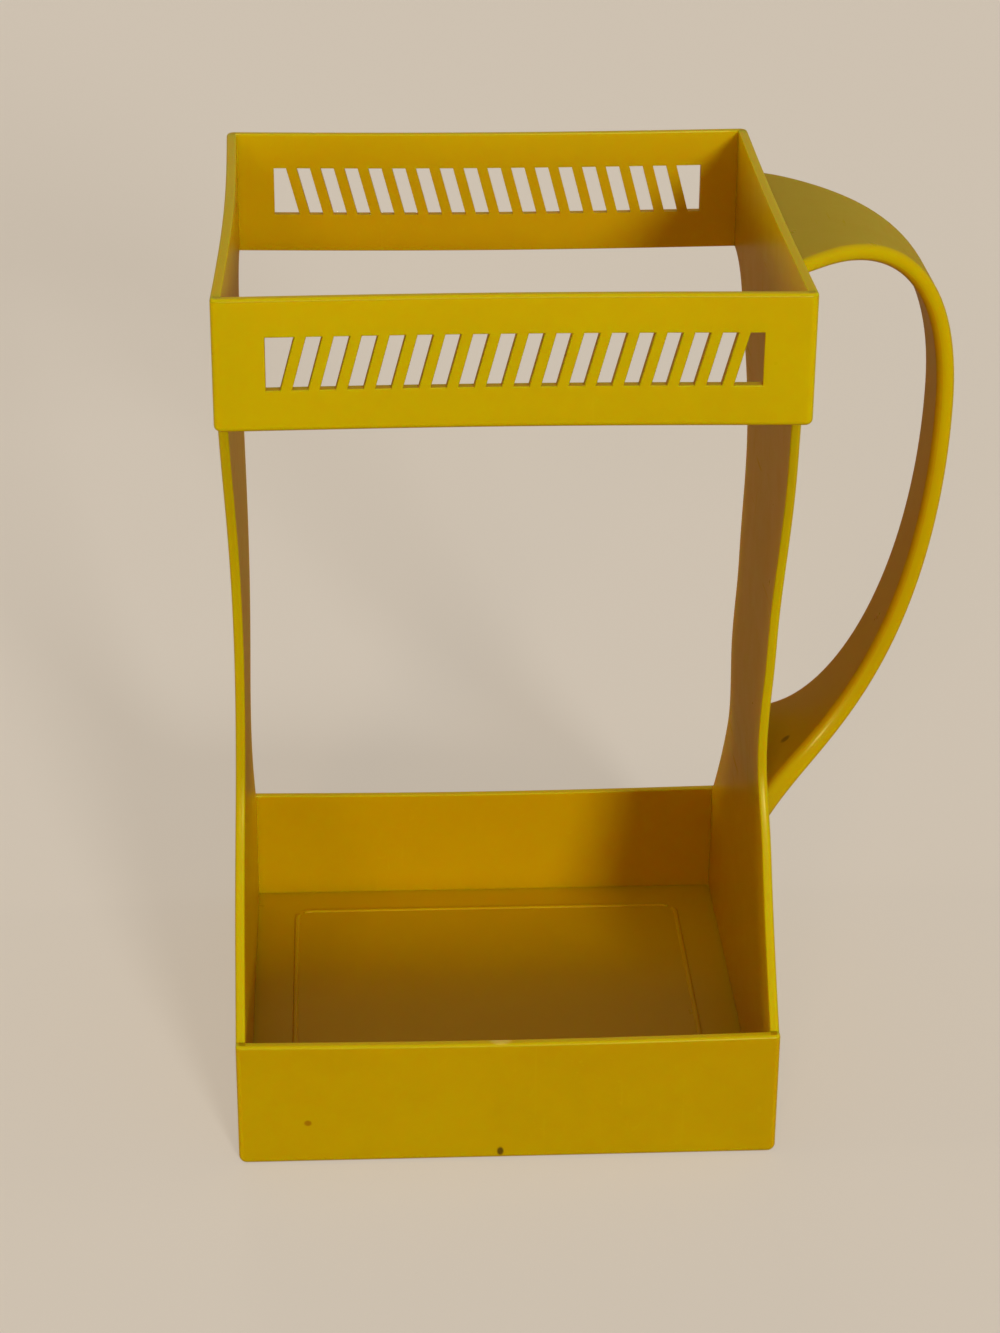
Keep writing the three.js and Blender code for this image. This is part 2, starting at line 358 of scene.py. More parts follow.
    def round_varied(self, radius: float, segments: int, share: PlaceShare) -> None:
        """Rounds the sharp edges by a radius that varies along them.

        Args:
            radius: The greatest radius.
            segments: How many facets the rounding has.
            share: How much of the radius an edge takes, by its middle.
        """
        self.edit()
        mesh = bmesh.from_edit_mesh(self.obj.data)
        weights = mesh.edges.layers.float.new(BEVEL_ATTRIBUTE)
        for edge in self.sharp_edges(mesh):
            edge[weights] = share(middle_of(edge))
        bmesh.update_edit_mesh(self.obj.data)
        self.apply(
            "BEVEL",
            width=radius,
            segments=segments,
            limit_method="WEIGHT",
            use_clamp_overlap=False,
            loop_slide=False,
        )
        self.obj.data.attributes.remove(self.obj.data.attributes[BEVEL_ATTRIBUTE])

    def apply(self, kind: str, **settings: object) -> None:
        """Adds a modifier and applies it.

        Args:
            kind: The modifier's type.
            **settings: The modifier's values.
        """
        self.choose()
        modifier = self.obj.modifiers.new(kind.lower(), kind)
        for key, value in settings.items():
            setattr(modifier, key, value)
        bpy.ops.object.modifier_apply(modifier=modifier.name)

    def thicken(self, thickness: float, group: str = "") -> None:
        """Gives a sheet its thickness on the side away from where it faces.

        Args:
            thickness: How thick the wall is.
            group: The vertex group whose weights share it out, if it varies.
        """
        self.apply(
            "SOLIDIFY",
            thickness=thickness,
            offset=-1,
            use_even_offset=True,
            use_rim=True,
            vertex_group=group,
        )

    def weigh(self, group: str, share: PlaceShare) -> None:
        """Puts every vertex in a vertex group, with a weight that its place gives.

        Args:
            group: The new group's name.
            share: The weight at a place, which is kept between 0 and 1.
        """
        self.close()
        made = self.obj.vertex_groups.new(name=group)
        for vertex in self.obj.data.vertices:
            made.add([vertex.index], min(1.0, max(0.0, share(vertex.co))), "REPLACE")

    def bow(self, axis: Axis, amount: float, share: PlaceShare) -> None:
        """Bows a wall a little, as a thin moulding does when it cools.

        Args:
            axis: The direction of the bow.
            amount: How far it goes where it is greatest.
            share: How much of that a place takes, from 0 to 1.
        """
        group = f"bow_{axis.value}"
        self.weigh(group, share)
        self.apply("DISPLACE", direction=axis.value, strength=amount, mid_level=0, vertex_group=group)
        self.obj.vertex_groups.remove(self.obj.vertex_groups[group])

    def turned_copy(self, name: str, angle: float) -> Workpiece:
        """Copies the piece and turns the copy about the upright axis.

        Args:
            name: The copy's name.
            angle: The turn, in radians.

        Returns:
            The copy, with a mesh of its own.
        """
        self.choose()
        bpy.ops.object.duplicate(linked=False)
        bpy.context.active_object.rotation_euler.z = angle
        return self.settled(name)

    def finish(self) -> None:
        """Closes seams, points the faces outwards, marks the rounded edges and smooths the shading."""
        self.edit()
        bpy.ops.mesh.select_mode(type=Element.VERTEX.value)
        bpy.ops.mesh.select_all(action="SELECT")
        bpy.ops.mesh.remove_doubles(threshold=NEAR)
        bpy.ops.mesh.normals_make_consistent(inside=False)
        self.choose()
        bpy.ops.object.shade_smooth_by_angle(angle=self.SMOOTH)
        self.apply("WEIGHTED_NORMAL", keep_sharp=True, weight=self.FLAT_WEIGHT)


class Reading:
    """A number that a shader node gives: arithmetic on it adds Math nodes."""

    def __init__(self, sheet: NodeSheet, socket: bpy.types.NodeSocket) -> None:
        """Wraps one output of a node."""
        self.sheet = sheet
        self.socket = socket

    def math(self, operation: str, left: Term, right: Term) -> Reading:
        """Adds a Math node on two terms."""
        return self.sheet.node("ShaderNodeMath", {"operation": operation}, {0: left, 1: right})

    def __add__(self, other: Term) -> Reading:
        """This plus another."""
        return self.math("ADD", self, other)

    __radd__ = __add__

    def __sub__(self, other: Term) -> Reading:
        """This less another."""
        return self.math("SUBTRACT", self, other)

    def __rsub__(self, other: Term) -> Reading:
        """Another less this."""
        return self.math("SUBTRACT", other, self)

    def __mul__(self, other: Term) -> Reading:
        """This times another."""
        return self.math("MULTIPLY", self, other)

    __rmul__ = __mul__

    def __gt__(self, other: Term) -> Reading:
        """One where this is the greater, and otherwise nothing."""
        return self.math("GREATER_THAN", self, other)

    def rising(self, low: float, high: float) -> Reading:
        """Steps softly from 0 to 1.

        Args:
            low: The value where the step starts.
            high: The value where it ends.

        Returns:
            The step.
        """
        return self.sheet.node(
            "ShaderNodeMapRange",
            {"interpolation_type": "SMOOTHSTEP"},
            {"Value": self, "From Min": low, "From Max": high},
        )


Term = Union[Reading, float, int, Colour, Point]


class NodeSheet:
    """The node tree of one material, or of the world.

    A Mix node has sockets for every kind of value, so its colour ones are known by number.
    """

    MIX_SHARE = 0
    MIX_LOW = 6
    MIX_HIGH = 7
    MIX_RESULT = 2
    NOISE_MIDDLE = 0.5

    def __init__(self, owner: bpy.types.Material | bpy.types.World) -> None:
        """Opens the nodes of a material or of the world, and empties them.

        Args:
            owner: The material or the world.
        """
        owner.use_nodes = True
        self.tree = owner.node_tree
        self.tree.nodes.clear()

    def node(
        self,
        kind: str,
        settings: dict[str, object] | None = None,
        sockets: dict[str | int, Term] | None = None,
        output: str | int = 0,
    ) -> Reading:
        """Adds a node.

        Args:
            kind: The node's type.
            settings: Its own settings, which are set before its sockets.
            sockets: The values or links of its inputs, by name or by number.
            output: The output that is wanted, by name or by number.

        Returns:
            That output.
        """
        made = self.tree.nodes.new(kind)
        for key, value in (settings or {}).items():
            setattr(made, key, value)
        for key, value in (sockets or {}).items():
            if isinstance(value, Reading):
                self.tree.links.new(value.socket, made.inputs[key])
            else:
                made.inputs[key].default_value = value
        return Reading(self, made.outputs[output] if len(made.outputs) else None)

    def noise(self, place: Reading, scale: float, detail: float = 2.0, rough: float = 0.5) -> Reading:
        """Adds a cloudy noise.

        Args:
            place: The coordinates that it is drawn on.
            scale: How many features it has to one unit of them.
            detail: How many finer layers it has.
            rough: How strong each finer layer is beside the one before.

        Returns:
            The noise, which lies round NOISE_MIDDLE.
        """
        return self.node(
            "ShaderNodeTexNoise",
            {"noise_dimensions": "3D"},
            {"Vector": place, "Scale": scale, "Detail": detail, "Roughness": rough},
        )

    def mapped(self, place: Reading, shift: Point, turn: Point, stretch: Point) -> Reading:
        """Stretches, turns and then moves a pattern's coordinates.

        Args:
            place: The coordinates.
            shift: How far they move along each axis.
            turn: How far they turn about each axis, in radians.
            stretch: How many times longer they get along each axis.

        Returns:
            The new coordinates.
        """
        return self.node(
            "ShaderNodeMapping",
            None,
            {"Vector": place, "Location": shift, "Rotation": turn, "Scale": stretch},
        )

    def blend(self, share: Term, low: Term, high: Term) -> Reading:
        """Mixes two colours.

        Args:
            share: How much of the second there is, from 0 to 1.
            low: The first colour.
            high: The second colour.

        Returns:
            The mixed colour.
        """
        return self.node(
            "ShaderNodeMix",
            {"data_type": "RGBA", "clamp_factor": True},
            {self.MIX_SHARE: share, self.MIX_LOW: low, self.MIX_HIGH: high},
            output=self.MIX_RESULT,
        )


@dataclass(frozen=True)
class Blemish:
    """A small soft-edged mark on the plastic, full within a share of its reach."""

    place: Point
    reach: Point
    colour: Colour
    strength: float
    core: float = 0.45

    def mask(self, sheet: NodeSheet, place: Reading) -> Reading:
        """Draws the mark's mask.

        Args:
            sheet: The material's nodes.
            place: Object coordinates.

        Returns:
            The strength in the middle of the mark, which fades to nothing at its reach.
        """
        stretch = tuple(1 / length for length in self.reach)
        shift = tuple(-where * by for where, by in zip(self.place, stretch))
        local = sheet.mapped(place, shift, (0, 0, 0), stretch)
        distance = sheet.node("ShaderNodeVectorMath", {"operation": "LENGTH"}, {0: local}, output="Value")
        return (1 - distance.rising(self.core, 1.0)) * self.strength


@dataclass(frozen=True)
class Scratches:
    """Fine scratches that run one way: a noise drawn out along them, of which only the peaks show."""

    shift: Point
    turn: Point
    stretch: Point
    low: float
    high: float

    def mask(self, sheet: NodeSheet, place: Reading) -> Reading:
        """Draws the scratches' mask on a material's coordinates."""
        drawn_out = sheet.mapped(place, self.shift, self.turn, self.stretch)
        return sheet.noise(drawn_out, scale=1, detail=1).rising(self.low, self.high)


@dataclass(frozen=True)
class YellowPlastic:
    """Glossy yellow polyethylene, a little mottled by its flow in the mould and lightly scuffed, with painted
    shade inside and low down and painted highlights on its narrow edges and inner rims.
    """

    lemon: Colour = linear(207, 186, 0)
    ochre: Colour = linear(172, 128, 0)
    # Painted shade: the deeper orange of faces that look into the carrier, standing in for shade and light
    # bounced from wall to wall.
    inner_shade_amber: Colour = linear(180, 115, 0)
    # Painted highlight: narrow edges go pale where they face up and dim olive elsewhere; the pale colour is
    # also that of the scuffs.
    pale: Colour = linear(218, 206, 12)
    dim_edge_highlight: Colour = linear(178, 163, 2)
    dirt: Colour = linear(86, 52, 10)
    sheen: Colour = (1.0, 0.86, 0.3, 1.0)
    roughness: float = 0.3
    refraction: float = 1.51
    gloss: float = 0.26
    glow: float = 0.45
    glow_reach: Point = (5.0 * MM, 1.5 * MM, 0.3 * MM)
    # Painted shade: outer faces are ochre and darker low down, fading out between these two levels.
    amber_level: float = 20 * MM
    lemon_level: float = 175 * MM
    # Painted light: inner faces turn lemon near the rim, from this level up to the one above.
    painted_rim_light_level: float = 158 * MM
    flow_scale: float = 24
    flow_detail: float = 3
    flow_share: float = 0.65
    cloud_scale: float = 130
    cloud_detail: float = 4
    cloud_rough: float = 0.6
    tone_low: float = 0.36
    tone_high: float = 0.66
    tone_cover: float = 0.12
    # Painted shade: how far outer faces turn ochre and darker low down.
    painted_low_shade_cover: float = 0.42
    least_edge: float = 0.1
    # Painted highlight on narrow edges: how strongly and how patchily they take it.
    edge_highlight_cover: float = 0.7
    edge_highlight_patches: float = 0.2
    scuff_cover: float = 0.08
    speck_cover: float = 0.55
    cloud_roughness: float = 0.12
    scuff_roughness: float = 0.16
    bump_scale: float = 60
    bump_detail: float = 1
    bump_strength: float = 0.06
    bump_height: float = 0.25 * MM
    scuff_depth: float = 0.05
    patch_scale: float = 45
    patch_low: float = 0.48
    patch_high: float = 0.68
    speck_scale: float = 95
    speck_core: float = 0.012
    speck_reach: float = 0.032
    speck_rarity: float = 0.86
    scratches: tuple[Scratches, ...] = (
        Scratches((0, 0, 0), (0.3, 0.5, 0.2), (900, 60, 900), 0.66, 0.72),
        Scratches((3, 1, 7), (0.9, -0.4, 1.1), (1100, 1100, 45), 0.68, 0.73),
    )

    def material(self, name: str, depth: float, blemishes: Sequence[Blemish] = ()) -> bpy.types.Material:
        """Makes the plastic's material.

        Args:
            name: The material's name.
            depth: How far the faces that look into the carrier take the painted inner shade, a deeper orange,
                from 0 to 1.
            blemishes: The marks that one piece carries.

        Returns:
            The material.
        """
        made = bpy.data.materials.new(name)
        sheet = NodeSheet(made)
        place = sheet.node("ShaderNodeTexCoord", output="Object")
        flow = sheet.noise(place, self.flow_scale, self.flow_detail)
        cloud = sheet.noise(place, self.cloud_scale, self.cloud_detail, self.cloud_rough)
        scuff = self.scuffs(sheet, place)
        speck = self.specks(sheet, place)
        edge = sheet.node("ShaderNodeAttribute", {"attribute_name": EDGE_ATTRIBUTE}, output="Fac")
        inward = sheet.node("ShaderNodeAttribute", {"attribute_name": INWARD_ATTRIBUTE}, output="Fac")
        level = sheet.node("ShaderNodeSeparateXYZ", None, {0: place}, output="Z")
        mottle = self.flow_share * flow + (1 - self.flow_share) * cloud
        tone = mottle.rising(self.tone_low, self.tone_high)
        # Painted shade: outer faces are ochre and darker towards the bottom, on top of the random tone.
        low = 1 - level.rising(self.amber_level, self.lemon_level)
        # Painted light: inner faces are lighter near the rim, as if lit there.
        rim = level.rising(self.painted_rim_light_level, self.lemon_level)
        tone_and_low_shade = self.tone_cover * tone + self.painted_low_shade_cover * low * (1 - inward)
        colour = sheet.blend(tone_and_low_shade, self.lemon, self.ochre)
        # Painted shade: faces that look into the carrier turn a deeper orange, less so near the rim.
        colour = sheet.blend(depth * inward * (1 - rim), colour, self.inner_shade_amber)
        # Painted highlight: narrow edges turn pale where they face up and olive elsewhere, in patches.
        highlit_edge = sheet.blend(edge, self.dim_edge_highlight, self.pale)
        edge_highlight_share = (edge > self.least_edge) * (self.edge_highlight_cover + self.edge_highlight_patches * cloud)
        colour = sheet.blend(edge_highlight_share, colour, highlit_edge)
        colour = sheet.blend(scuff * self.scuff_cover, colour, self.pale)
        colour = sheet.blend(speck * self.speck_cover, colour, self.dirt)
        for blemish in blemishes:
            colour = sheet.blend(blemish.mask(sheet, place), colour, blemish.colour)
        clouded = self.roughness + self.cloud_roughness * (cloud - sheet.NOISE_MIDDLE)
        rough = clouded + self.scuff_roughness * scuff
        height = sheet.noise(place, self.bump_scale, self.bump_detail) - self.scuff_depth * scuff
        bump = sheet.node(
            "ShaderNodeBump",
            None,
            {"Strength": self.bump_strength, "Distance": self.bump_height, "Height": height},
        )
        shader = sheet.node(
            "ShaderNodeBsdfPrincipled",
            None,
            {
                "Base Color": colour,
                "Roughness": rough,
                "Normal": bump,
                "IOR": self.refraction,
                "Specular IOR Level": self.gloss,
                "Specular Tint": self.sheen,
                "Subsurface Weight": self.glow,
                "Subsurface Radius": self.glow_reach,
                "Subsurface Scale": 1.0,
            },
        )
        sheet.node("ShaderNodeOutputMaterial", None, {"Surface": shader})
        return made

    def scuffs(self, sheet: NodeSheet, place: Reading) -> Reading:
        """Draws fine scratches in two slanting directions, broken into patches.

        Args:
            sheet: The material's nodes.
            place: Object coordinates.

        Returns:
            The scratches' mask.
        """
        first, second = (lines.mask(sheet, place) for lines in self.scratches)
        patches = sheet.noise(place, self.patch_scale).rising(self.patch_low, self.patch_high)
        return (first + second) * patches

    def specks(self, sheet: NodeSheet, place: Reading) -> Reading:
        """Draws sparse dark specks in the plastic, well under a millimetre across.

        Args:
            sheet: The material's nodes.
            place: Object coordinates.

        Returns:
            The specks' mask.
        """
        cells = {"Vector": place, "Scale": self.speck_scale, "Randomness": 1.0}
        distance = sheet.node("ShaderNodeTexVoronoi", None, cells, output="Distance")
        shade = sheet.node("ShaderNodeTexVoronoi", None, cells, output="Color")
        chosen = sheet.node("ShaderNodeSeparateColor", None, {0: shade}) > self.speck_rarity
        return (1 - distance.rising(self.speck_core, self.speck_reach)) * chosen


@dataclass
class Moulding:
    """What every member of the carrier shares: the planes that it fits and how it is dressed."""

    env: Envelope
    plastic: YellowPlastic
    # Painted highlight: the narrow faces that take it, and how much those that face sideways or down take.
    narrow: float = 1.3 * MM
    side_highlight: float = 0.0
    # Painted shade: faces that look inside take the deeper orange, fully once they face in this far.
    facing_in: float = 0.45
    painted_inner_shade: float = 0.44
    lowest_highlight: float = 0.0
    base_margin: float = 5 * MM
    bay_margin: float = 2 * MM
    base_facets: int = 8
    edge_facets: int = 4
    fine_facets: int = 2

    def bay_lines(self, bays: int) -> list[float]:
        """The lines that divide a wall into even bays, as far as a margin from the walls beside it."""
        reach = self.env.inner - self.bay_margin
        return [-reach + 2 * reach * bay / bays for bay in range(bays + 1)]

    def slack(self, across: float) -> float:
        """How free a wall is to bow: fully midway between the walls beside it, and not at all at them."""
        return math.cos(math.pi / 2 * min(1.0, abs(across) / self.env.inner))

    def dress(self, piece: Workpiece, node: str, blemishes: Sequence[Blemish] = ()) -> None:
        """Finishes a piece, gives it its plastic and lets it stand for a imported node.

        Args:
            piece: The piece, in place.
            node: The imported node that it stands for.
            blemishes: The marks that it carries.
        """
        piece.finish()
        self.mark_faces(piece)
        piece.obj.data.materials.clear()
        plastic = self.plastic.material(f"{node}_plastic", self.painted_inner_shade, blemishes)
        piece.obj.data.materials.append(plastic)
        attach(piece.obj, "root")
        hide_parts(node)
        LOG.info("%s: %d faces", piece.obj.name, len(piece.obj.data.polygons))

    def mark_faces(self, piece: Workpiece) -> None:
        """Notes which faces take the painted edge highlight and how far each looks into the carrier.

        An edge is a narrow face, and those that look up take the most painted highlight, for the light from
        above.
        Inside, where light goes from wall to wall, the faces are painted a deeper orange as shade.

        Args:
            piece: The finished piece.
        """
        mesh = piece.obj.data
        edges = mesh.attributes.new(EDGE_ATTRIBUTE, "FLOAT", "FACE")
        inward = mesh.attributes.new(INWARD_ATTRIBUTE, "FLOAT", "FACE")
        heart = Vector((0, 0, self.env.rim / 2))
        for face in mesh.polygons:
            longest = max((mesh.vertices[a].co - mesh.vertices[b].co).length for a, b in face.edge_keys)
            # Painted highlight: narrow faces above the base that face up enough take it, by how much they face
            # up.
            highlit_edge = face.normal.z > self.lowest_highlight - NEAR and face.center.z > self.base_margin
            if highlit_edge and face.area < self.narrow * longest:
                edges.data[face.index].value = max(face.normal.z, self.side_highlight)
            turned_in = face.normal.dot((heart - face.center).normalized())
            inward.data[face.index].value = min(1.0, max(0.0, turned_in / self.facing_in))


@dataclass
class FrontWall(Moulding):
    """What the upper and the lower front wall share: a flat blank, and a copy at the rear."""

    front_bow: float = 0.0
    rear_bow: float = 0.0

    def blank(self, name: str, bottom: float, top: float) -> Workpiece:
        """Adds the wall's blank: a sheet on its outer face, as wide as the carrier."""
        middle = (0, -self.env.outer, (bottom + top) / 2)
        return Workpiece.plate(name, Facing.FRONT, middle, (2 * self.env.outer, top - bottom))

    def thicken(self, wall: Workpiece) -> None:
        """Cuts the sheet where the side walls meet it, and gives it its thickness.

        Args:
            wall: The sheet.
        """
        for side in (-self.env.inner, self.env.inner):
            wall.cut((side, 0, 0), (1, 0, 0))
        wall.thicken(self.env.wall)

    def outer_edge_at(self, level: float) -> EdgeTest:
        """Passes the edges at a level, apart from those on the carton's side."""
        at_level = both_ends(lambda place: abs(place.z - level) < NEAR)
        return lambda a, b: at_level(a, b) and (a.y + b.y) / 2 < -self.env.inner - NEAR

    def sag(self, place: Vector) -> float:
        """A bow that is greatest midway between the side walls."""
        return self.slack(place.x)

    def copy_to_rear(self, front: Workpiece, name: str) -> Workpiece:
        """Copies the wall to the rear, and bows both.

        Args:
            front: The front wall.
            name: The rear wall's name.

        Returns:
            The rear wall.
        """
        rear = front.turned_copy(name, HALF_TURN)
        front.bow(Axis.Y, self.front_bow, self.sag)
        rear.bow(Axis.Y, self.rear_bow, self.sag)
        return rear


@dataclass
class PiercedBand(FrontWall):
    """The upper front wall, pierced by a window of slanted bars, and its copy at the rear."""

    end_margin: float = 8.8 * MM
    window_drop: float = 6.7 * MM
    window_height: float = 9.2 * MM
    bar_pitch: float = 4.58 * MM
    bar_width: float = 2 * MM
    bar_slant: float = math.radians(15)
    window_margin: float = 0.5 * MM
    side_margin: float = 1 * MM
    corner_radius: float = 1.4 * MM
    rim_radius: float = 0.6 * MM
    lower_radius: float = 1.0 * MM
    inner_radius: float = 0.3 * MM
    slot_radius: float = 0.2 * MM
    front_bow: float = 1.0 * MM
    rear_bow: float = -1.3 * MM
    corner_facets: int = 7
    bays: int = 16

    @property
    def window(self) -> tuple[float, float]:
        """The levels of the window's bottom and top."""
        top = self.env.rim - self.window_drop
        return top - self.window_height, top

    def build(self) -> None:
        """Models the front band, copies it to the rear and dresses both."""
        band = self.blank("front_band_moulding", self.env.band_bottom, self.env.rim)
        self.pierce(band)
        self.thicken(band)
        self.round_off(band)
        self.divide(band)
        rear = self.copy_to_rear(band, "rear_band_moulding")
        self.dress(band, "front_band")
        self.dress(rear, "rear_band")

    def pierce(self, band: Workpiece) -> None:
        """Cuts the window's slots through the band's sheet.

        Args:
            band: The sheet.
        """
        bottom, top = self.window
        level = (top + bottom) / 2
        left = self.end_margin - self.env.outer
        count = round(-2 * left / self.bar_pitch)
        pitch = -2 * left / count
        lean = math.tan(self.bar_slant)

        def in_strip(middle: Vector) -> bool:
            """Whether a face lies between the window's top and bottom."""
            return bottom < middle.z < top

        def in_window(middle: Vector) -> bool:
            """Whether a face lies in the window."""
            return in_strip(middle) and abs(middle.x) < -left

        def pitches(middle: Vector) -> float:
            """How many pitches along the leaning row of bars a face lies."""
            return (middle.x - left - (middle.z - level) * lean) / pitch

        def in_slot(middle: Vector) -> bool:
            """Whether a face lies between two bars, or between a bar and the window's end."""
            bar = min(count - 1, max(1, round(pitches(middle))))
            return in_window(middle) and abs(pitches(middle) - bar) * pitch > self.bar_width / 2

        band.cut((0, 0, bottom), (0, 0, 1))
        band.cut((0, 0, top), (0, 0, 1))
        band.cut((left, 0, 0), (1, 0, 0), in_strip)
        band.cut((-left, 0, 0), (1, 0, 0), in_strip)
        for bar in range(1, count):
            for side in (-0.5, 0.5):
                edge = left + bar * pitch + side * self.bar_width
                band.cut((edge, 0, level), (1, 0, -lean), in_window)
        band.remove_faces(in_slot)

    def round_off(self, band: Workpiece) -> None:
        """Rounds the band's corners and edges, apart from those that meet the side walls.

        Args:
            band: The thickened band.
        """
        env = self.env
        bottom, top = self.window

        def by_window(place: Vector) -> bool:
            """Whether a place is level with the window."""
            return bottom - NEAR < place.z < top + NEAR

        def corner(place: Vector) -> bool:
            """The band's two outer corners."""
            return env.outer - abs(place.x) < NEAR and place.y + env.outer < NEAR

        def inside(place: Vector) -> bool:
            """The upper and lower edges on the carton's side, as far as the side walls."""
            near_carton = abs(place.y + env.inner) < NEAR and abs(place.x) < env.inner + NEAR
            return near_carton and not by_window(place)

        def slot(place: Vector) -> bool:
            """The slots' edges on the outer face."""
            on_face = place.y + env.outer < NEAR and abs(place.x) < env.inner - self.side_margin
            return on_face and by_window(place)

        band.round_edges(self.corner_radius, self.corner_facets, both_ends(corner))
        band.round_edges(self.rim_radius, self.edge_facets, self.outer_edge_at(env.rim))
        band.round_edges(self.lower_radius, self.edge_facets, self.outer_edge_at(env.band_bottom))
        band.round_edges(self.inner_radius, self.fine_facets, both_ends(inside))
        band.round_edges(self.slot_radius, self.fine_facets, both_ends(slot))

    def divide(self, band: Workpiece) -> None:
        """Divides the strips above and below the window, so that they can bow.

        Args:
            band: The rounded band.
        """
        low = self.window[0] - self.window_margin
        high = self.window[1] + self.window_margin
        for across in self.bay_lines(self.bays):
            band.cut((across, 0, 0), (1, 0, 0), lambda middle: not low < middle.z < high)


@dataclass
class TrayWall(FrontWall):
    """The lower front wall and its copy at the rear."""

    base_radius: float = 1.5 * MM
    edge_radius: float = 1.0 * MM
    rim_radius: float = 0.6 * MM
    inner_radius: float = 0.3 * MM
    front_bow: float = -0.8 * MM
    rear_bow: float = -0.9 * MM
    outer_facets: int = 6
    bays: int = 12

    def build(self) -> None:
        """Models the front tray wall, copies it to the rear and dresses both."""
        wall = self.blank("front_tray_wall_moulding", 0, self.env.tray_top)
        wall.pick(Element.VERTEX, lambda place: place.z < NEAR)
        wall.round_selected(self.base_radius, self.base_facets, corners=True)
        self.thicken(wall)
        self.round_off(wall)
        for across in self.bay_lines(self.bays):
            wall.cut((across, 0, 0), (1, 0, 0))
        rear = self.copy_to_rear(wall, "rear_tray_wall_moulding")
        self.dress(wall, "front_tray_wall", self.blemishes())
        self.dress(rear, "rear_tray_wall")

    def round_off(self, wall: Workpiece) -> None:
        """Rounds the outer corners, the base and the rim, apart from the edges that meet other walls.

        Args:
            wall: The thickened wall.
        """
        env = self.env

        def outer_face(a: Vector, b: Vector) -> bool:
            """The ends and the bottom of the outer face."""
            outside = both_ends(lambda place: place.y + env.outer < NEAR)
            return outside(a, b) and (a.z + b.z) / 2 < env.tray_top - NEAR

        def inside(place: Vector) -> bool:
            """The rim's edge on the carton's side, as far as the side walls."""
            at_rim = abs(place.z - env.tray_top) < NEAR
            return at_rim and abs(place.y + env.inner) < NEAR and abs(place.x) < env.inner + NEAR

        wall.round_edges(self.edge_radius, self.outer_facets, outer_face)
        wall.round_edges(self.rim_radius, self.edge_facets, self.outer_edge_at(env.tray_top))
        wall.round_edges(self.inner_radius, self.fine_facets, both_ends(inside))

    def sag(self, place: Vector) -> float:
        """A bow that is greatest at the middle of the rim, and nothing at the base."""
        return self.slack(place.x) * place.z / self.env.tray_top

    def blemishes(self) -> list[Blemish]:
        """Places two brown specks, and a painted highlight where a small nick in the rim catches the light.

        Returns:
            The front tray wall's marks.
        """
        front = -self.env.outer
        return [
            Blemish((-37.1 * MM, front, 8.8 * MM), (0.9 * MM, 1 * MM, 0.8 * MM), linear(140, 58, 4), 0.6),
            Blemish((-1.5 * MM, front, 1.7 * MM), (0.8 * MM, 1.5 * MM, 1.2 * MM), linear(70, 46, 14), 0.85),
            # Painted highlight: a pale streak where a small nick in the rim catches the light.
            Blemish(
                (-1.5 * MM, front + 0.9 * MM, self.env.tray_top),
                (2.6 * MM, 2 * MM, 0.4 * MM),
                linear(246, 224, 112),
                0.78,
            ),
        ]


@dataclass(frozen=True)
class Bow:
    """A gentle bow of a thin wall between two levels."""

    low: float
    high: float
    amount: float

    def share(self, place: Vector) -> float:
        """How much of the bow a place takes: all of it midway between the levels."""
        up = (place.z - self.low) / (self.high - self.low)
        return math.sin(math.pi * up) ** 2 if 0 < up < 1 else 0.0


